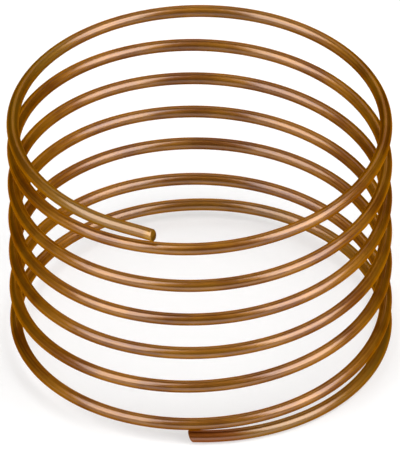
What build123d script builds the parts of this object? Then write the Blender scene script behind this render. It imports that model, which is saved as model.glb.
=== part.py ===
"""Wire compression spring: one round wire wound right-handed, both ends closed and sheared."""
import math
import os

from build123d import *

# wire and coil, millimetres
WIRE_DIAMETER = 1.15
OUTER_DIAMETER = 36.0
TOTAL_TURNS = 6.97

# pitch, the height that one turn of wire loses
MIDDLE_PITCH = 3.92
WIDE_PITCH = 5.75  # beside the closed ends, where the winding was opened up
TIGHT_PITCH = 2.99  # between the wide places of the lower turns
CLOSED_PITCH = 0.12
STEP_PITCH = 4.4  # short step down in the lower end turn

# where along the wire the pitch changes, in turns from the nearer tip
UPPER_CLOSED_TO = 0.44
UPPER_WIDE_AT = 0.91
UPPER_SETTLED_AT = 1.4
LOWER_STEP_AT = 0.31
LOWER_STEP_HALF = 0.19
LOWER_WIDE_AT = 1.14
LOWER_WAVE_HALF = 0.44  # from a wide place to the next tight one

# clear height left between each tip and the turn beside it
UPPER_TIP_GAP = 0.52
LOWER_TIP_GAP = 0.26

# wire tips, left straight by the shear, with the burr broken
UPPER_TIP_STRAIGHT = 3.3
LOWER_TIP_STRAIGHT = 0.8
TIP_BEVEL = 0.08
CUT_LEAN = 22.0  # degrees off square, the same at both tips, since one cut parts two springs
UPPER_TIP_ANGLE = 14.2  # degrees from the front to the upper tip, clockwise seen from above

POINTS_PER_TURN = 20

MEAN_RADIUS = (OUTER_DIAMETER - WIRE_DIAMETER) / 2
TURN_LENGTH = 2 * math.pi * MEAN_RADIUS


def upper_end():
    """Turns down from the upper tip, with the pitch at each; the tip's own is set later."""
    return [
        (0.0, 0.0),
        (UPPER_CLOSED_TO, CLOSED_PITCH),
        (UPPER_WIDE_AT, WIDE_PITCH),
        (UPPER_SETTLED_AT, MIDDLE_PITCH),
    ]


def lower_end():
    """Turns up from the lower tip, with the pitch at each; the tip's own is set later."""
    end_turn = [
        (0.0, 0.0),
        (LOWER_STEP_AT - LOWER_STEP_HALF, 0.0),
        (LOWER_STEP_AT, STEP_PITCH),
        (LOWER_STEP_AT + LOWER_STEP_HALF, CLOSED_PITCH),
        (LOWER_STEP_AT + 2 * LOWER_STEP_HALF, CLOSED_PITCH),
    ]
    wave = [WIDE_PITCH, TIGHT_PITCH, WIDE_PITCH, TIGHT_PITCH, MIDDLE_PITCH]
    return end_turn + [(LOWER_WIDE_AT + LOWER_WAVE_HALF * i, pitch) for i, pitch in enumerate(wave)]


def drop_between(stations, start, end):
    """Height lost from one turn count to another; the pitch runs straight between stations."""
    total = 0.0
    for (turn_a, pitch_a), (turn_b, pitch_b) in zip(stations, stations[1:]):
        low = max(start, turn_a)
        high = min(end, turn_b)
        if high > low:
            rate = (pitch_b - pitch_a) / (turn_b - turn_a)
            total += (pitch_a + rate * ((low + high) / 2 - turn_a)) * (high - low)
    return total


def closed_on_neighbour(stations, gap):
    """The same stations, with the pitch at the tip set so that the first turn leaves this gap."""
    missing = WIRE_DIAMETER + gap - drop_between(stations, 0.0, 1.0)
    tip_pitch = 2 * missing / stations[1][0]
    return [(0.0, tip_pitch)] + stations[1:]


def pitch_stations():
    """The whole wire, from the upper tip to the lower one."""
    upper = closed_on_neighbour(upper_end(), UPPER_TIP_GAP)
    lower = closed_on_neighbour(lower_end(), LOWER_TIP_GAP)
    return upper + [(TOTAL_TURNS - turn, pitch) for turn, pitch in reversed(lower)]


def centre_line():
    """Points along the middle of the wire between its two straight tips."""
    stations = pitch_stations()
    first = UPPER_TIP_STRAIGHT / TURN_LENGTH
    last = TOTAL_TURNS - LOWER_TIP_STRAIGHT / TURN_LENGTH
    steps = round(TOTAL_TURNS * POINTS_PER_TURN)
    turns = [first + (last - first) * i / steps for i in range(steps + 1)]
    drops = [drop_between(stations, 0.0, turn) for turn in turns]
    top = max(drops) + WIRE_DIAMETER / 2
    points = []
    for turn, drop in zip(turns, drops):
        around = math.radians(-90 - UPPER_TIP_ANGLE - 360 * turn)
        points.append(Vector(MEAN_RADIUS * math.cos(around), MEAN_RADIUS * math.sin(around), top - drop))
    return points


def sheared_tip(path, position, length):
    """Round wire end that carries straight on from the coil to a leaning cut with a broken edge."""
    seat = path @ position
    heading = path % position * (1 if position == 1 else -1)
    wire_end = extrude(Plane(seat, z_dir=heading) * Circle(WIRE_DIAMETER / 2), length + WIRE_DIAMETER)
    outward = Axis((0, 0, 0), (seat.X, seat.Y, 0))
    cut = Plane(seat + heading * length, z_dir=heading.rotate(outward, CUT_LEAN))
    wire_end = split(wire_end, bisect_by=cut, keep=Keep.BOTTOM)
    cut_face = wire_end.faces().sort_by_distance(seat)[-1]
    return chamfer(cut_face.edges(), TIP_BEVEL)


def coil_spring():
    """One solid: the coiled wire with a straight tip at each end."""
    path = Spline(*centre_line())
    section = Plane(path @ 0, z_dir=path % 0) * Circle(WIRE_DIAMETER / 2)
    coil = sweep(section, path=path, is_frenet=True)
    return coil + sheared_tip(path, 0, UPPER_TIP_STRAIGHT) + sheared_tip(path, 1, LOWER_TIP_STRAIGHT)


os.makedirs("parts", exist_ok=True)
spring = coil_spring()
export_step(spring, "parts/coil_spring.step")
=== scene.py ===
# Compression spring of copper-coloured wire: the coil, its finish, and a small white studio
import math
import bpy
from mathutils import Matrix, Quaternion, Vector


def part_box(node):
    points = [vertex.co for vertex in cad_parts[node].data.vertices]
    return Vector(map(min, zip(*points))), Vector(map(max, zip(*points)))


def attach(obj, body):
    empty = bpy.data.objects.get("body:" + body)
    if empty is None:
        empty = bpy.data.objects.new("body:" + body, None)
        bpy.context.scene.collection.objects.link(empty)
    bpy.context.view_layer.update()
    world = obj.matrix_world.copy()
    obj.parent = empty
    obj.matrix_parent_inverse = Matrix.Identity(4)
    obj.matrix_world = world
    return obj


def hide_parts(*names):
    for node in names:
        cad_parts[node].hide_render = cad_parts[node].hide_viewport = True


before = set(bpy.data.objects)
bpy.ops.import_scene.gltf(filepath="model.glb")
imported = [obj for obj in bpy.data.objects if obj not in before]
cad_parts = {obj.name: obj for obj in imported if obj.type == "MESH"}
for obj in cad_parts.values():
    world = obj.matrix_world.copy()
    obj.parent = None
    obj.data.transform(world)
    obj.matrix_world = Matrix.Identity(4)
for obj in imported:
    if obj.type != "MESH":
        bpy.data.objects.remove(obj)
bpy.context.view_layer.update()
coilLow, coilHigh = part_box("coil_spring")
metre = 1.0
mm = 0.001 * metre
print("frame loaded, coil", [round(side / mm, 2) for side in coilHigh - coilLow], "mm")

coil = {
    "wireDiameter": 1.15 * mm,
    "turns": 6.97,
    # height that one turn of wire loses
    "middlePitch": 3.92 * mm,
    "widePitch": 5.75 * mm,
    "tightPitch": 2.99 * mm,
    "closedPitch": 0.12 * mm,
    "stepPitch": 4.4 * mm,
    # where the pitch changes, in turns from the nearer tip
    "upperClosedTo": 0.44,
    "upperWideAt": 0.91,
    "upperSettledAt": 1.4,
    "lowerStepAt": 0.31,
    "lowerStepHalf": 0.19,
    "lowerWideAt": 1.14,
    "lowerWaveHalf": 0.44,  # from a wide place to the next tight one
    # clear height between a tip and the turn beside it
    "upperTipGap": 0.52 * mm,
    "lowerTipGap": 0.26 * mm,
    # sheared tips
    "upperStraight": 3.3 * mm,
    "lowerStraight": 0.8 * mm,
    "tipAngle": math.radians(14.2),  # from the front to the upper tip, clockwise seen from above
    "upperLean": math.radians(15),  # of the cut, off square
    "lowerLean": math.radians(22),
    "rollDepth": 0.06 * mm,  # the upper tip's top side, pulled down by the shear
    "rollLength": 1.1 * mm,
    "rollFall": 1.5,  # above 1, the pull eases off faster away from the cut
    "tipBevel": 0.08 * mm,
    "tearDepth": 0.03 * mm,  # the torn grain of a cut face
    "tearSize": 0.24 * mm,
    "tearDetail": 3.0,  # finer and finer layers of grain
    "tornWithin": 0.8,  # share of the wire's radius
    "faceRings": (0.8, 0.72, 0.6, 0.35),  # each ring on a cut face, as a share of the one outside it
    # how finely the skin is divided, and the bend past which an edge stays crisp
    "ringsPerTurn": 200,
    "sides": 32,
    "creaseAngle": math.radians(33),
}
coilDiameter = min(coilHigh.x - coilLow.x, coilHigh.y - coilLow.y)
turnLength = math.pi * (coilDiameter - coil["wireDiameter"])


# pitch along the wire, as (turns from the upper tip, height lost per turn)

def dropBetween(stations, start, end):
    total = 0.0
    for (turnA, pitchA), (turnB, pitchB) in zip(stations, stations[1:]):
        low = max(start, turnA)
        high = min(end, turnB)
        if high > low:
            rate = (pitchB - pitchA) / (turnB - turnA)
            total += (pitchA + rate * ((low + high) / 2 - turnA)) * (high - low)
    return total


def closedOnNeighbour(stations, gap):
    missing = coil["wireDiameter"] + gap - dropBetween(stations, 0.0, 1.0)
    return [(0.0, 2 * missing / stations[1][0])] + stations[1:]


def pitchStations():
    c = coil
    upper = [
        (0.0, 0.0),
        (c["upperClosedTo"], c["closedPitch"]),
        (c["upperWideAt"], c["widePitch"]),
        (c["upperSettledAt"], c["middlePitch"]),
    ]
    step, half = c["lowerStepAt"], c["lowerStepHalf"]
    lower = [
        (0.0, 0.0),
        (step - half, 0.0),
        (step, c["stepPitch"]),
        (step + half, c["closedPitch"]),
        (step + 2 * half, c["closedPitch"]),
    ]
    wave = [c["widePitch"], c["tightPitch"], c["widePitch"], c["tightPitch"], c["middlePitch"]]
    lower += [(c["lowerWideAt"] + c["lowerWaveHalf"] * i, pitch) for i, pitch in enumerate(wave)]
    upper = closedOnNeighbour(upper, c["upperTipGap"])
    lower = closedOnNeighbour(lower, c["lowerTipGap"])
    return upper + [(c["turns"] - turn, pitch) for turn, pitch in reversed(lower)]


def pitchAt(stations, turn):
    for (turnA, pitchA), (turnB, pitchB) in zip(stations, stations[1:]):
        if turnA <= turn <= turnB:
            return pitchA + (pitchB - pitchA) * (turn - turnA) / (turnB - turnA)


# small helpers for building node trees

def addNode(tree, kind, **settings):
    node = tree.nodes.new(kind)
    for name, value in settings.items():
        setattr(node, name, value)
    return node


def feed(tree, socket, value):
    if isinstance(value, bpy.types.NodeSocket):
        tree.links.new(value, socket)
    else:
        socket.default_value = value


def calc(tree, operation, *terms):
    node = addNode(tree, "ShaderNodeMath", operation=operation)
    for socket, term in zip(node.inputs, terms):
        feed(tree, socket, term)
    return node.outputs[0]


def vectorCalc(tree, operation, *terms):
    node = addNode(tree, "ShaderNodeVectorMath", operation=operation)
    for socket, term in zip([s for s in node.inputs if s.type == "VECTOR"], terms):
        feed(tree, socket, term)
    return node.outputs["Value"] if operation in ("DOT_PRODUCT", "LENGTH") else node.outputs["Vector"]


def scaled(tree, vector, factor):
    node = addNode(tree, "ShaderNodeVectorMath", operation="SCALE")
    feed(tree, node.inputs["Vector"], vector)
    feed(tree, node.inputs["Scale"], factor)
    return node.outputs["Vector"]


def joined(tree, x, y, z):
    node = addNode(tree, "ShaderNodeCombineXYZ")
    for socket, value in zip(node.inputs, (x, y, z)):
        feed(tree, socket, value)
    return node.outputs[0]


def split(tree, vector):
    node = addNode(tree, "ShaderNodeSeparateXYZ")
    feed(tree, node.inputs[0], vector)
    return node.outputs


# a node that takes a run of geometry on
def onward(tree, geometry, kind, **settings):
    node = addNode(tree, kind, **settings)
    tree.links.new(geometry, node.inputs[0])
    return node


def shifted(tree, geometry, offset):
    node = onward(tree, geometry, "GeometryNodeSetPosition")
    tree.links.new(offset, node.inputs["Offset"])
    return node.outputs[0]


def blended(tree, share, under, over):
    node = addNode(tree, "ShaderNodeMix", data_type="RGBA")
    feed(tree, node.inputs[0], share)
    colours = [socket for socket in node.inputs if socket.type == "RGBA"]
    feed(tree, colours[0], under)
    feed(tree, colours[1], over)
    return next(socket for socket in node.outputs if socket.type == "RGBA")


def ramped(tree, value, low, high, bottom=0.0, top=1.0):
    node = addNode(tree, "ShaderNodeMapRange", interpolation_type="SMOOTHSTEP")
    for socket, term in zip(node.inputs, (value, low, high, bottom, top)):
        feed(tree, socket, term)
    return node.outputs[0]


def faded(tree, value, full, gone):
    return ramped(tree, value, full, gone, 1.0, 0.0)


def cloudy(tree, place, detail, coarseness=0.5):
    node = addNode(tree, "ShaderNodeTexNoise", noise_dimensions="3D")
    tree.links.new(place, node.inputs["Vector"])
    node.inputs["Scale"].default_value = 1.0
    node.inputs["Detail"].default_value = detail
    node.inputs["Roughness"].default_value = coarseness
    return node.outputs[0]


# a new node group, whose inputs and outputs are given as name and kind of socket
def startGroup(name, kind, inputs, outputs):
    tree = bpy.data.node_groups.new(name, kind)
    for side, sockets in (("INPUT", inputs), ("OUTPUT", outputs)):
        for label, socketKind in sockets.items():
            tree.interface.new_socket(name=label, in_out=side, socket_type="NodeSocket" + socketKind)
    given = addNode(tree, "NodeGroupInput").outputs
    result = addNode(tree, "NodeGroupOutput").inputs
    return tree, given, result


def placed(tree, group, **values):
    node = addNode(tree, "ShaderNodeGroup", node_tree=group)
    for name, value in values.items():
        feed(tree, node.inputs[name], value)
    return node.outputs


# the winding: one group gives the height lost over one stretch, the other winds the wire

def pitchStretchGroup():
    inputs = dict.fromkeys(("Turn", "From", "To", "Pitch From", "Pitch To"), "Float")
    tree, given, result = startGroup("pitchStretch", "GeometryNodeTree", inputs, {"Drop": "Float"})
    inside = calc(tree, "MINIMUM", calc(tree, "MAXIMUM", given["Turn"], given["From"]), given["To"])
    run = calc(tree, "SUBTRACT", inside, given["From"])
    span = calc(tree, "SUBTRACT", given["To"], given["From"])
    rise = calc(tree, "SUBTRACT", given["Pitch To"], given["Pitch From"])
    rate = calc(tree, "DIVIDE", rise, span)
    meanPitch = calc(tree, "MULTIPLY_ADD", rate, calc(tree, "MULTIPLY", run, 0.5), given["Pitch From"])
    tree.links.new(calc(tree, "MULTIPLY", meanPitch, run), result["Drop"])
    return tree


def windingTree(stations):
    inputs = {"Geometry": "Geometry"}
    inputs |= dict.fromkeys((
        "Wire Diameter", "Coil Diameter", "Turns", "Bottom Height", "Tip Angle",
        "Upper Straight", "Lower Straight", "Upper Seat Pitch", "Lower Seat Pitch",
        "Upper Lean", "Lower Lean", "Roll Depth", "Roll Length", "Roll Fall",
        "Tip Bevel", "Tear Depth", "Tear Size", "Torn Within", "Crease Angle",
    ), "Float")
    inputs |= {"Rings": "Int", "Sides": "Int", "Wire Material": "Material"}
    for i in range(len(stations)):
        inputs |= {f"Station {i} Turn": "Float", f"Station {i} Pitch": "Float"}
    tree, given, result = startGroup("coiledWire", "GeometryNodeTree", inputs, {"Geometry": "Geometry"})

    # one point per ring, counted down the wire from the upper tip
    line = addNode(tree, "GeometryNodeMeshLine")
    tree.links.new(given["Rings"], line.inputs["Count"])
    index = addNode(tree, "GeometryNodeInputIndex").outputs[0]
    share = calc(tree, "DIVIDE", index, calc(tree, "SUBTRACT", given["Rings"], 1.0))
    turn = calc(tree, "MULTIPLY", share, given["Turns"])
    wireRadius = calc(tree, "MULTIPLY", given["Wire Diameter"], 0.5)
    meanDiameter = calc(tree, "SUBTRACT", given["Coil Diameter"], given["Wire Diameter"])
    coilRadius = calc(tree, "MULTIPLY", meanDiameter, 0.5)
    turnLength = calc(tree, "MULTIPLY", coilRadius, 2 * math.pi)
    coilStart = calc(tree, "DIVIDE", given["Upper Straight"], turnLength)
    lowerTurns = calc(tree, "DIVIDE", given["Lower Straight"], turnLength)
    coilEnd = calc(tree, "SUBTRACT", given["Turns"], lowerTurns)
    wound = calc(tree, "MINIMUM", calc(tree, "MAXIMUM", turn, coilStart), coilEnd)
    beyond = calc(tree, "MULTIPLY", calc(tree, "SUBTRACT", turn, wound), turnLength)

    # height lost, summed over the stretches
    stretch = pitchStretchGroup()
    drop = 0.0
    for i in range(len(stations) - 1):
        node = addNode(tree, "GeometryNodeGroup", node_tree=stretch)
        tree.links.new(wound, node.inputs["Turn"])
        for name, source in (
            ("From", f"Station {i} Turn"), ("To", f"Station {i + 1} Turn"),
            ("Pitch From", f"Station {i} Pitch"), ("Pitch To", f"Station {i + 1} Pitch"),
        ):
            tree.links.new(given[source], node.inputs[name])
        drop = calc(tree, "ADD", node.outputs["Drop"], drop)

    # along the wire: a circle seen from above, straight where the tips run on
    tipBearing = calc(tree, "SUBTRACT", -math.pi / 2, given["Tip Angle"])
    angle = calc(tree, "MULTIPLY_ADD", wound, -2 * math.pi, tipBearing)
    cosine = calc(tree, "COSINE", angle)
    sine = calc(tree, "SINE", angle)
    upperHalf = calc(tree, "LESS_THAN", share, 0.5)
    pitchStep = calc(tree, "SUBTRACT", given["Upper Seat Pitch"], given["Lower Seat Pitch"])
    seatPitch = calc(tree, "MULTIPLY_ADD", upperHalf, pitchStep, given["Lower Seat Pitch"])
    slope = calc(tree, "MULTIPLY", calc(tree, "DIVIDE", seatPitch, turnLength), -1.0)
    clockwise = joined(tree, sine, calc(tree, "MULTIPLY", cosine, -1.0), slope)
    downWire = vectorCalc(tree, "NORMALIZE", clockwise)
    onCoil = joined(
        tree, calc(tree, "MULTIPLY", cosine, coilRadius), calc(tree, "MULTIPLY", sine, coilRadius),
        calc(tree, "MULTIPLY", drop, -1.0),
    )
    place = vectorCalc(tree, "ADD", onCoil, scaled(tree, downWire, beyond))
    laid = onward(tree, line.outputs["Mesh"], "GeometryNodeSetPosition")
    tree.links.new(place, laid.inputs["Position"])
    here = addNode(tree, "GeometryNodeInputPosition").outputs[0]
    lowest = onward(tree, laid.outputs[0], "GeometryNodeAttributeStatistic", data_type="FLOAT")
    tree.links.new(split(tree, here)["Z"], lowest.inputs["Attribute"])
    lowestCentre = calc(tree, "ADD", given["Bottom Height"], wireRadius)
    lift = calc(tree, "SUBTRACT", lowestCentre, lowest.outputs["Min"])
    raised = shifted(tree, laid.outputs[0], joined(tree, 0.0, 0.0, lift))

    # what each ring has to remember once it is a skin
    path = onward(tree, raised, "GeometryNodeMeshToCurve")
    level = onward(tree, path.outputs[0], "GeometryNodeSetCurveNormal", mode="Z_UP")
    keep = onward(tree, level.outputs[0], "GeometryNodeCaptureAttribute", domain="POINT")
    for kind, name in (("VECTOR", "Centre"), ("VECTOR", "Heading"), ("FLOAT", "Along")):
        keep.capture_items.new(kind, name)
    tree.links.new(here, keep.inputs["Centre"])
    tree.links.new(downWire, keep.inputs["Heading"])
    tree.links.new(calc(tree, "MULTIPLY", turn, turnLength), keep.inputs["Along"])

    # the skin, and rings across each cut face with its edge broken
    section = addNode(tree, "GeometryNodeCurvePrimitiveCircle", mode="RADIUS")
    tree.links.new(given["Sides"], section.inputs["Resolution"])
    tree.links.new(wireRadius, section.inputs["Radius"])
    skin = onward(tree, keep.outputs["Geometry"], "GeometryNodeCurveToMesh")
    tree.links.new(section.outputs[0], skin.inputs["Profile Curve"])
    skin.inputs["Fill Caps"].default_value = True
    faceSides = addNode(tree, "GeometryNodeInputMeshFaceNeighbors").outputs["Vertex Count"]
    mesh = skin.outputs[0]
    top = calc(tree, "GREATER_THAN", faceSides, 4.0)  # the skin has four-sided faces, its caps more
    bevelShrink = calc(tree, "SUBTRACT", 1.0, calc(tree, "DIVIDE", given["Tip Bevel"], wireRadius))
    rings = [(given["Tip Bevel"], bevelShrink)] + [(0.0, share) for share in coil["faceRings"]]
    for grow, shrink in rings:
        extruded = onward(tree, mesh, "GeometryNodeExtrudeMesh", mode="FACES")
        tree.links.new(top, extruded.inputs["Selection"])
        feed(tree, extruded.inputs["Offset Scale"], grow)
        extruded.inputs["Individual"].default_value = False
        narrowed = onward(tree, extruded.outputs["Mesh"], "GeometryNodeScaleElements", domain="FACE")
        tree.links.new(extruded.outputs["Top"], narrowed.inputs["Selection"])
        feed(tree, narrowed.inputs["Scale"], shrink)
        mesh = narrowed.outputs[0]
        top = extruded.outputs["Top"]

    # where a point lies in its ring: outward from the coil's axis, and up, in wire radii
    centre = keep.outputs["Centre"]
    heading = keep.outputs["Heading"]
    along = keep.outputs["Along"]
    outward = vectorCalc(tree, "NORMALIZE", vectorCalc(tree, "MULTIPLY", centre, (1.0, 1.0, 0.0)))
    spoke = vectorCalc(tree, "SUBTRACT", here, centre)
    outShare = calc(tree, "DIVIDE", vectorCalc(tree, "DOT_PRODUCT", spoke, outward), wireRadius)
    upShare = calc(tree, "DIVIDE", split(tree, spoke)["Z"], wireRadius)
    marked = onward(
        tree, mesh, "GeometryNodeStoreNamedAttribute", data_type="FLOAT_VECTOR", domain="POINT",
    )
    marked.inputs["Name"].default_value = "wireCoord"
    tree.links.new(joined(tree, along, outShare, upShare), marked.inputs["Value"])

    # the cut leans, and its face is torn a little
    wireLength = calc(tree, "MULTIPLY", given["Turns"], turnLength)
    fromTip = calc(tree, "MINIMUM", along, calc(tree, "SUBTRACT", wireLength, along))
    inDiameters = calc(tree, "DIVIDE", fromTip, given["Wire Diameter"])
    leanShare = calc(tree, "SUBTRACT", 1.0, calc(tree, "MINIMUM", inDiameters, 1.0))
    upper = calc(tree, "LESS_THAN", along, calc(tree, "MULTIPLY", wireLength, 0.5))
    leanStep = calc(tree, "SUBTRACT", given["Upper Lean"], given["Lower Lean"])
    lean = calc(tree, "TANGENT", calc(tree, "MULTIPLY_ADD", upper, leanStep, given["Lower Lean"]))
    leanRun = calc(tree, "MULTIPLY", calc(tree, "MULTIPLY", upShare, wireRadius), lean)
    ringRadius = calc(tree, "DIVIDE", vectorCalc(tree, "LENGTH", spoke), wireRadius)
    onFace = calc(tree, "LESS_THAN", ringRadius, given["Torn Within"])
    tear = addNode(tree, "ShaderNodeTexNoise", noise_dimensions="3D")
    tree.links.new(here, tear.inputs["Vector"])
    tree.links.new(calc(tree, "DIVIDE", 1.0, given["Tear Size"]), tear.inputs["Scale"])
    tear.inputs["Detail"].default_value = coil["tearDetail"]
    tearShare = calc(tree, "MULTIPLY", calc(tree, "SUBTRACT", tear.outputs[0], 0.5), onFace)
    torn = calc(tree, "MULTIPLY", tearShare, given["Tear Depth"])
    shift = calc(tree, "MULTIPLY_ADD", leanRun, leanShare, torn)
    cut = shifted(tree, marked.outputs[0], scaled(tree, heading, shift))

    # the shear pulled the upper tip's top side down a little
    inRolls = calc(tree, "DIVIDE", along, given["Roll Length"])
    rollShare = calc(tree, "MAXIMUM", calc(tree, "SUBTRACT", 1.0, inRolls), 0.0)
    topShare = calc(tree, "MAXIMUM", upShare, 0.0)
    overTop = calc(tree, "MULTIPLY", topShare, topShare)
    sink = calc(tree, "MULTIPLY", calc(tree, "POWER", rollShare, given["Roll Fall"]), overTop)
    pulled = calc(tree, "MULTIPLY", calc(tree, "MULTIPLY", sink, given["Roll Depth"]), -1.0)
    rolled = shifted(tree, cut, joined(tree, 0.0, 0.0, pulled))

    # smooth along the wire, crisp round the cut
    bend = addNode(tree, "GeometryNodeInputMeshEdgeAngle").outputs["Unsigned Angle"]
    crisp = onward(tree, rolled, "GeometryNodeSetShadeSmooth", domain="EDGE")
    tree.links.new(calc(tree, "GREATER_THAN", bend, given["Crease Angle"]), crisp.inputs["Selection"])
    crisp.inputs["Shade Smooth"].default_value = False
    real = onward(tree, crisp.outputs[0], "GeometryNodeRealizeInstances")
    painted = onward(tree, real.outputs[0], "GeometryNodeSetMaterial")
    tree.links.new(given["Wire Material"], painted.inputs["Material"])
    tree.links.new(painted.outputs[0], result["Geometry"])
    return tree


def windSpring(finish):
    stations = pitchStations()
    tree = windingTree(stations)
    values = {
        "Wire Diameter": coil["wireDiameter"],
        "Coil Diameter": coilDiameter,
        "Turns": coil["turns"],
        "Bottom Height": coilLow.z,
        "Tip Angle": coil["tipAngle"],
        "Upper Straight": coil["upperStraight"],
        "Lower Straight": coil["lowerStraight"],
        "Upper Seat Pitch": pitchAt(stations, coil["upperStraight"] / turnLength),
        "Lower Seat Pitch": pitchAt(stations, coil["turns"] - coil["lowerStraight"] / turnLength),
        "Upper Lean": coil["upperLean"],
        "Lower Lean": coil["lowerLean"],
        "Roll Depth": coil["rollDepth"],
        "Roll Length": coil["rollLength"],
        "Roll Fall": coil["rollFall"],
        "Tip Bevel": coil["tipBevel"],
        "Tear Depth": coil["tearDepth"],
        "Tear Size": coil["tearSize"],
        "Torn Within": coil["tornWithin"],
        "Crease Angle": coil["creaseAngle"],
        "Rings": round(coil["turns"] * coil["ringsPerTurn"]),
        "Sides": coil["sides"],
        "Wire Material": finish,
    }
    for i, (turn, pitch) in enumerate(stations):
        values[f"Station {i} Turn"] = turn
        values[f"Station {i} Pitch"] = pitch
    holder = bpy.data.objects.new("windingGuide", bpy.data.meshes.new("windingGuide"))
    bpy.context.scene.collection.objects.link(holder)
    modifier = holder.modifiers.new("coiledWire", "NODES")
    modifier.node_group = tree
    for socket in tree.interface.items_tree:
        if socket.item_type == "SOCKET" and socket.in_out == "INPUT" and socket.name in values:
            modifier[socket.identifier] = values[socket.name]
    holder.update_tag()
    seen = holder.evaluated_get(bpy.context.evaluated_depsgraph_get())
    mesh = bpy.data.meshes.new_from_object(seen)
    mesh.name = "springWire"
    holder.modifiers.clear()
    bpy.data.objects.remove(holder)
    spring = bpy.data.objects.new("springWire", mesh)
    bpy.context.scene.collection.objects.link(spring)
    wireLength = round(turnLength * coil["turns"] / mm)
    print("spring wound,", len(mesh.polygons), "faces,", wireLength, "mm of wire")
    return spring


# the finish: drawn copper-alloy wire under a thin lacquer, browned unevenly, with a painted golden
# reflection on the end turns, painted shade and a painted highlight at the tips, and the cut faces of
# the shear on both

wireFinish = {
    "copper": (0.335, 0.132, 0.004, 1.0),
    "brown": (0.19, 0.056, 0.001, 1.0),
    # painted golden reflection, laid in clouds over the two end turns
    "reflectionTint": (0.26, 0.118, 0.008, 1.0),
    "tipShade": (0.24, 0.062, 0.001, 1.0),  # painted shade, red-brown, towards the lower tip
    "tipHighlight": (0.42, 0.2, 0.015, 1.0),  # painted highlight in pale gold beside the upper tip
    "cutFace": (0.3, 0.145, 0.014, 1.0),
    "tornFace": (0.17, 0.075, 0.006, 1.0),  # the lower part of a cut, where the wire broke
    "glancing": (1.0, 0.6, 0.08, 1.0),  # tint where the wire turns away from the eye
    "roughness": (0.4, 0.58),  # from the lowest of the drawing lines to the highest
    "cutRoughness": 0.7,
    "metallic": 1.0,
    "coatWeight": (1.0, 0.0),  # the lacquer face on, and where the wire turns away
    "coatFades": (0.07, 0.46),  # between these, 0 being face on and 1 edge on
    "coatRoughness": 0.2,
    "coatIor": 1.78,
    "lineLength": 30 * mm,
    "linesAcross": 6.0,  # across one wire radius
    "lineDepth": 0.007 * mm,
    "lineDetail": 4.0,
    "lineCoarseness": 0.6,
    "cloudDetail": 3.0,
    # browning and the painted golden reflection: size of their clouds, noise where they are clean and
    # full, pull towards the drawing lines
    "brownSize": 4 * mm,
    "brownRange": (0.4, 0.62),
    "brownOnLines": 0.5,
    "reflectionTintSize": 7 * mm,
    "reflectionTintRange": (0.35, 0.6),
    "reflectionTintOnLines": 0.3,
    # marks towards the tips: a fade is where a mark is full, and where it is gone
    "reflectionReach": 75 * mm,  # the painted golden reflection is on the two end turns
    "reflectionFade": (0.4, 1.0),  # in reaches
    "tipHighlightLength": 0.9 * mm,
    "tipHighlightFade": (0.3, 1.0),  # in lengths of the painted highlight
    "tipHighlightSide": (0.1, 0.6),  # starts and is full, in wire radii outward
    "tornFade": (-0.2, 0.1),  # in wire radii above the wire's middle
    "raggedness": 0.9,  # how far the torn part's edge wanders, in wire radii
    "raggedGrains": 3.0,  # in one wire radius
    "tipShadeLength": 7 * mm,
    "tipShadeFade": (0.35, 1.0),  # in lengths of the painted shade
}


# long fine lines left by the drawing die
def drawingLinesGroup():
    inputs = {"Wire Coord": "Vector", "Line Length": "Float", "Lines Across": "Float"}
    tree, given, result = startGroup("drawingLines", "ShaderNodeTree", inputs, {"Lines": "Float"})
    parts = split(tree, given["Wire Coord"])
    stretched = joined(
        tree, calc(tree, "DIVIDE", parts["X"], given["Line Length"]),
        calc(tree, "MULTIPLY", parts["Y"], given["Lines Across"]),
        calc(tree, "MULTIPLY", parts["Z"], given["Lines Across"]),
    )
    lines = cloudy(tree, stretched, wireFinish["lineDetail"], wireFinish["lineCoarseness"])
    tree.links.new(lines, result["Lines"])
    return tree


# clouds of browning, and of the painted golden reflection, drawn out a little along the lines
def browningAndReflectionGroup():
    inputs = {
        "Position": "Vector", "Patch Size": "Float", "Lines": "Float", "Lines Share": "Float",
        "Clean Below": "Float", "Full Above": "Float",
    }
    tree, given, result = startGroup("browningAndReflection", "ShaderNodeTree", inputs, {"Browning And Reflection": "Float"})
    perPatch = calc(tree, "DIVIDE", 1.0, given["Patch Size"])
    patches = cloudy(tree, scaled(tree, given["Position"], perPatch), wireFinish["cloudDetail"])
    apart = calc(tree, "SUBTRACT", given["Lines"], patches)
    onLines = calc(tree, "MULTIPLY", apart, given["Lines Share"])
    both = calc(tree, "ADD", patches, onLines)
    tree.links.new(ramped(tree, both, given["Clean Below"], given["Full Above"]), result["Browning And Reflection"])
    return tree


# how near a place on the wire is to one of its ends
def nearEndsGroup():
    inputs = {"Wire Coord": "Vector", "Wire Length": "Float", "Reach": "Float"}
    tree, given, result = startGroup("nearEnds", "ShaderNodeTree", inputs, {"Near End": "Float"})
    fromUpper = split(tree, given["Wire Coord"])["X"]
    fromLower = calc(tree, "SUBTRACT", given["Wire Length"], fromUpper)
    inReaches = calc(tree, "DIVIDE", calc(tree, "MINIMUM", fromUpper, fromLower), given["Reach"])
    tree.links.new(faded(tree, inReaches, *wireFinish["reflectionFade"]), result["Near End"])
    return tree
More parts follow.
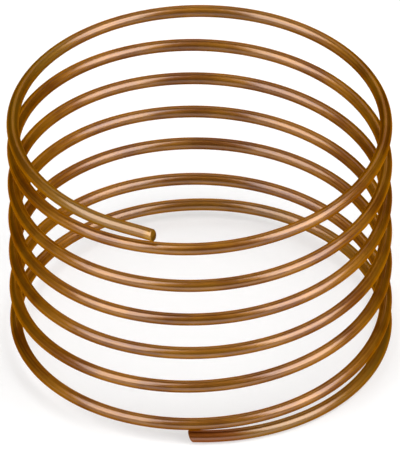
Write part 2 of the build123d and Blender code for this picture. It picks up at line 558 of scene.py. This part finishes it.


# the two cut faces, a painted highlight beside the upper one and painted shade on the lower tip
def tipMarksGroup():
    finish = wireFinish
    inputs = {
        "Wire Coord": "Vector", "Face Edge": "Float", "Tip Highlight Length": "Float",
        "Raggedness": "Float", "Wire Length": "Float", "Tip Shade Length": "Float",
    }
    outputs = dict.fromkeys(("Cut Face", "Torn", "Tip Highlight", "Tip Shade"), "Float")
    tree, given, result = startGroup("tipMarks", "ShaderNodeTree", inputs, outputs)
    parts = split(tree, given["Wire Coord"])
    inRing = joined(tree, 0.0, parts["Y"], parts["Z"])
    face = faded(tree, vectorCalc(tree, "LENGTH", inRing), given["Face Edge"], 1.0)
    tree.links.new(face, result["Cut Face"])
    inGrains = scaled(tree, inRing, finish["raggedGrains"])
    grain = cloudy(tree, inGrains, finish["lineDetail"], finish["lineCoarseness"])
    wander = calc(tree, "SUBTRACT", grain, 0.5)
    ragged = calc(tree, "MULTIPLY_ADD", wander, given["Raggedness"], parts["Z"])
    tree.links.new(faded(tree, ragged, *finish["tornFade"]), result["Torn"])
    # painted highlight: near the upper tip, on its outer side
    inTipHighlightLengths = calc(tree, "DIVIDE", parts["X"], given["Tip Highlight Length"])
    nearTip = faded(tree, inTipHighlightLengths, *finish["tipHighlightFade"])
    outerSide = ramped(tree, parts["Y"], *finish["tipHighlightSide"])
    tree.links.new(calc(tree, "MULTIPLY", nearTip, outerSide), result["Tip Highlight"])
    # painted shade: full at the lower tip, gone a length further on
    fromLower = calc(tree, "SUBTRACT", given["Wire Length"], parts["X"])
    inTipShadeLengths = calc(tree, "DIVIDE", fromLower, given["Tip Shade Length"])
    tree.links.new(faded(tree, inTipShadeLengths, *finish["tipShadeFade"]), result["Tip Shade"])
    return tree


def springWireMaterial():
    finish = wireFinish
    material = bpy.data.materials.new("drawnCopperWire")
    material.use_nodes = True
    tree = material.node_tree
    tree.nodes.clear()
    shader = addNode(tree, "ShaderNodeBsdfPrincipled")
    output = addNode(tree, "ShaderNodeOutputMaterial")
    tree.links.new(shader.outputs[0], output.inputs["Surface"])
    coord = addNode(tree, "ShaderNodeAttribute", attribute_name="wireCoord").outputs["Vector"]
    solid = addNode(tree, "ShaderNodeTexCoord").outputs["Object"]
    lines = placed(tree, drawingLinesGroup(), **{
        "Wire Coord": coord, "Line Length": finish["lineLength"], "Lines Across": finish["linesAcross"],
    })["Lines"]
    browningAndReflection = browningAndReflectionGroup()
    browned, reflectionClouds = [
        placed(tree, browningAndReflection, **{
            "Position": solid, "Patch Size": finish[tone + "Size"],
            "Lines": lines, "Lines Share": finish[tone + "OnLines"],
            "Clean Below": finish[tone + "Range"][0], "Full Above": finish[tone + "Range"][1],
        })["Browning And Reflection"]
        for tone in ("brown", "reflectionTint")
    ]
    wireLength = coil["turns"] * turnLength
    ends = placed(tree, nearEndsGroup(), **{
        "Wire Coord": coord, "Wire Length": wireLength, "Reach": finish["reflectionReach"],
    })["Near End"]
    marks = placed(tree, tipMarksGroup(), **{
        "Wire Coord": coord, "Face Edge": 1 - coil["tipBevel"] / (coil["wireDiameter"] / 2),
        "Tip Highlight Length": finish["tipHighlightLength"], "Raggedness": finish["raggedness"],
        "Wire Length": wireLength, "Tip Shade Length": finish["tipShadeLength"],
    })

    colour = blended(tree, browned, finish["copper"], finish["brown"])
    # painted golden reflection, greenish gold, in clouds on the two end turns
    colour = blended(tree, calc(tree, "MULTIPLY", reflectionClouds, ends), colour, finish["reflectionTint"])
    # painted shade, red-brown, over the lower tip
    colour = blended(tree, marks["Tip Shade"], colour, finish["tipShade"])
    # painted highlight beside the upper tip
    colour = blended(tree, marks["Tip Highlight"], colour, finish["tipHighlight"])
    cutColour = blended(tree, marks["Torn"], finish["cutFace"], finish["tornFace"])
    colour = blended(tree, marks["Cut Face"], colour, cutColour)
    tree.links.new(colour, shader.inputs["Base Color"])
    drawn = ramped(tree, lines, 0.0, 1.0, *finish["roughness"])
    rough = ramped(tree, marks["Cut Face"], 0.0, 1.0, drawn, finish["cutRoughness"])
    tree.links.new(rough, shader.inputs["Roughness"])
    facing = addNode(tree, "ShaderNodeLayerWeight").outputs["Facing"]
    lacquer = ramped(tree, facing, *finish["coatFades"], *finish["coatWeight"])
    bare = ramped(tree, marks["Cut Face"], 0.0, 1.0, lacquer, 0.0)
    tree.links.new(bare, shader.inputs["Coat Weight"])
    bump = addNode(tree, "ShaderNodeBump")
    bump.inputs["Distance"].default_value = finish["lineDepth"]
    tree.links.new(lines, bump.inputs["Height"])
    tree.links.new(bump.outputs[0], shader.inputs["Normal"])
    shader.inputs["Metallic"].default_value = finish["metallic"]
    shader.inputs["Specular Tint"].default_value = finish["glancing"]
    shader.inputs["Coat Roughness"].default_value = finish["coatRoughness"]
    shader.inputs["Coat IOR"].default_value = finish["coatIor"]
    return material


spring = windSpring(springWireMaterial())
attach(spring, "root")
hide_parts("coil_spring")
print("spring dressed and put on its body")

# the studio: a white floor, a softbox leaning in on each side, a softbox and a card behind,
# and a dark room above a pale horizon
studio = {
    "floorSize": 1.6 * metre,
    "floorDrop": 0.02 * mm,
    "floorWhite": 0.5,
    "floorGlow": 0.5,  # added for the camera and for mirrored rays alone
    "leftAzimuth": math.radians(-61),
    "rightAzimuth": math.radians(64),
    "boxElevation": math.radians(45),
    "boxRoll": math.radians(66),  # about its own axis, leaning the two boxes in
    "boxDistance": 0.5 * metre,
    "boxWidth": 0.63 * metre,
    "boxHeight": 0.34 * metre,
    "leftWatts": 2.45,
    "rightWatts": 2.85,
    "backAzimuth": math.pi,
    "backElevation": math.radians(45),
    "backDistance": 0.5 * metre,
    "backWidth": 0.24 * metre,
    "backHeight": 0.24 * metre,
    "backWatts": 0.36,
    "cardElevation": math.radians(8),
    "cardSize": 0.2 * metre,
    "cardWatts": 0.24,
    "ceilingGlow": 0.05,
    "horizonGlow": 0.9,
    "horizonFull": math.sin(math.radians(1)),  # heights up the room, as sines
    "horizonGone": math.sin(math.radians(3.5)),
}


def seenStraight(tree):
    rays = addNode(tree, "ShaderNodeLightPath").outputs
    mirrored = calc(tree, "MAXIMUM", rays["Is Glossy Ray"], rays["Is Transmission Ray"])
    return calc(tree, "MAXIMUM", rays["Is Camera Ray"], mirrored)


def makeFloor():
    half = studio["floorSize"] / 2
    level = coilLow.z - studio["floorDrop"]
    mesh = bpy.data.meshes.new("studioFloor")
    corners = [(-half, -half, level), (half, -half, level), (half, half, level), (-half, half, level)]
    mesh.from_pydata(corners, [], [(0, 1, 2, 3)])
    floor = bpy.data.objects.new("studioFloor", mesh)
    bpy.context.scene.collection.objects.link(floor)
    material = bpy.data.materials.new("whiteFloor")
    material.use_nodes = True
    tree = material.node_tree
    tree.nodes.clear()
    paint = addNode(tree, "ShaderNodeBsdfDiffuse")
    white = studio["floorWhite"]
    paint.inputs["Color"].default_value = (white, white, white, 1.0)
    glow = addNode(tree, "ShaderNodeEmission")
    seenGlow = calc(tree, "MULTIPLY", seenStraight(tree), studio["floorGlow"])
    tree.links.new(seenGlow, glow.inputs["Strength"])
    both = addNode(tree, "ShaderNodeAddShader")
    tree.links.new(paint.outputs[0], both.inputs[0])
    tree.links.new(glow.outputs[0], both.inputs[1])
    output = addNode(tree, "ShaderNodeOutputMaterial")
    tree.links.new(both.outputs[0], output.inputs["Surface"])
    mesh.materials.append(material)


def makeSoftBox(name, azimuth, elevation, distance, width, height, watts, roll=0.0):
    lamp = bpy.data.lights.new(name, "AREA")
    lamp.shape = "RECTANGLE"
    lamp.size, lamp.size_y, lamp.energy = width, height, watts
    box = bpy.data.objects.new(name, lamp)
    bpy.context.scene.collection.objects.link(box)
    level = math.cos(elevation)
    aim = Vector((math.sin(azimuth) * level, -math.cos(azimuth) * level, math.sin(elevation)))
    box.location = aim * distance
    box.rotation_mode = "QUATERNION"
    box.rotation_quaternion = aim.to_track_quat("Z", "Y") @ Quaternion((0, 0, 1), roll)


def makeSurround():
    world = bpy.data.worlds.new("studioSurround")
    bpy.context.scene.world = world
    world.use_nodes = True
    tree = world.node_tree
    tree.nodes.clear()
    sky = addNode(tree, "ShaderNodeBackground")
    height = split(tree, addNode(tree, "ShaderNodeTexCoord").outputs["Generated"])["Z"]
    glow = ramped(
        tree, height, studio["horizonFull"], studio["horizonGone"],
        studio["horizonGlow"], studio["ceilingGlow"],
    )
    tree.links.new(glow, sky.inputs["Strength"])
    output = addNode(tree, "ShaderNodeOutputWorld")
    tree.links.new(sky.outputs[0], output.inputs["Surface"])


makeFloor()
for side in ("left", "right"):
    makeSoftBox(
        side + "SoftBox", studio[side + "Azimuth"], studio["boxElevation"], studio["boxDistance"],
        studio["boxWidth"], studio["boxHeight"], studio[side + "Watts"],
        math.copysign(studio["boxRoll"], studio[side + "Azimuth"]),
    )
makeSoftBox(
    "backSoftBox", studio["backAzimuth"], studio["backElevation"], studio["backDistance"],
    studio["backWidth"], studio["backHeight"], studio["backWatts"],
)
makeSoftBox(
    "backCard", studio["backAzimuth"], studio["cardElevation"], studio["backDistance"],
    studio["cardSize"], studio["cardSize"], studio["cardWatts"],
)
makeSurround()
print("studio lit")

# the camera, far off with a long lens, as the photograph's even turns show
camera = {
    "distance": 1.305 * metre,
    "lens": 1116.1,  # in Blender's own millimetres
    "elevation": math.radians(37.16),
    "roll": math.radians(-0.476),
    "aim": Vector((-0.0235 * mm, 0.0, 12.502 * mm)),
    "aimDown": 0.224 * mm,
    "clipStart": 0.1 * metre,
    "clipEnd": 10.0 * metre,
}


def makeCamera():
    data = bpy.data.cameras.new("benchCamera")
    data.lens = camera["lens"]
    data.clip_start, data.clip_end = camera["clipStart"], camera["clipEnd"]
    body = bpy.data.objects.new("benchCamera", data)
    bpy.context.scene.collection.objects.link(body)
    back = Vector((0.0, -math.cos(camera["elevation"]), math.sin(camera["elevation"])))
    up = Vector((0.0, math.sin(camera["elevation"]), math.cos(camera["elevation"])))
    body.location = camera["aim"] - up * camera["aimDown"] + back * camera["distance"]
    body.rotation_mode = "QUATERNION"
    body.rotation_quaternion = (-back).to_track_quat("-Z", "Y") @ Quaternion((0, 0, 1), camera["roll"])
    bpy.context.scene.camera = body


makeCamera()
bpy.context.scene.view_settings.view_transform = "Standard"
print("camera set")
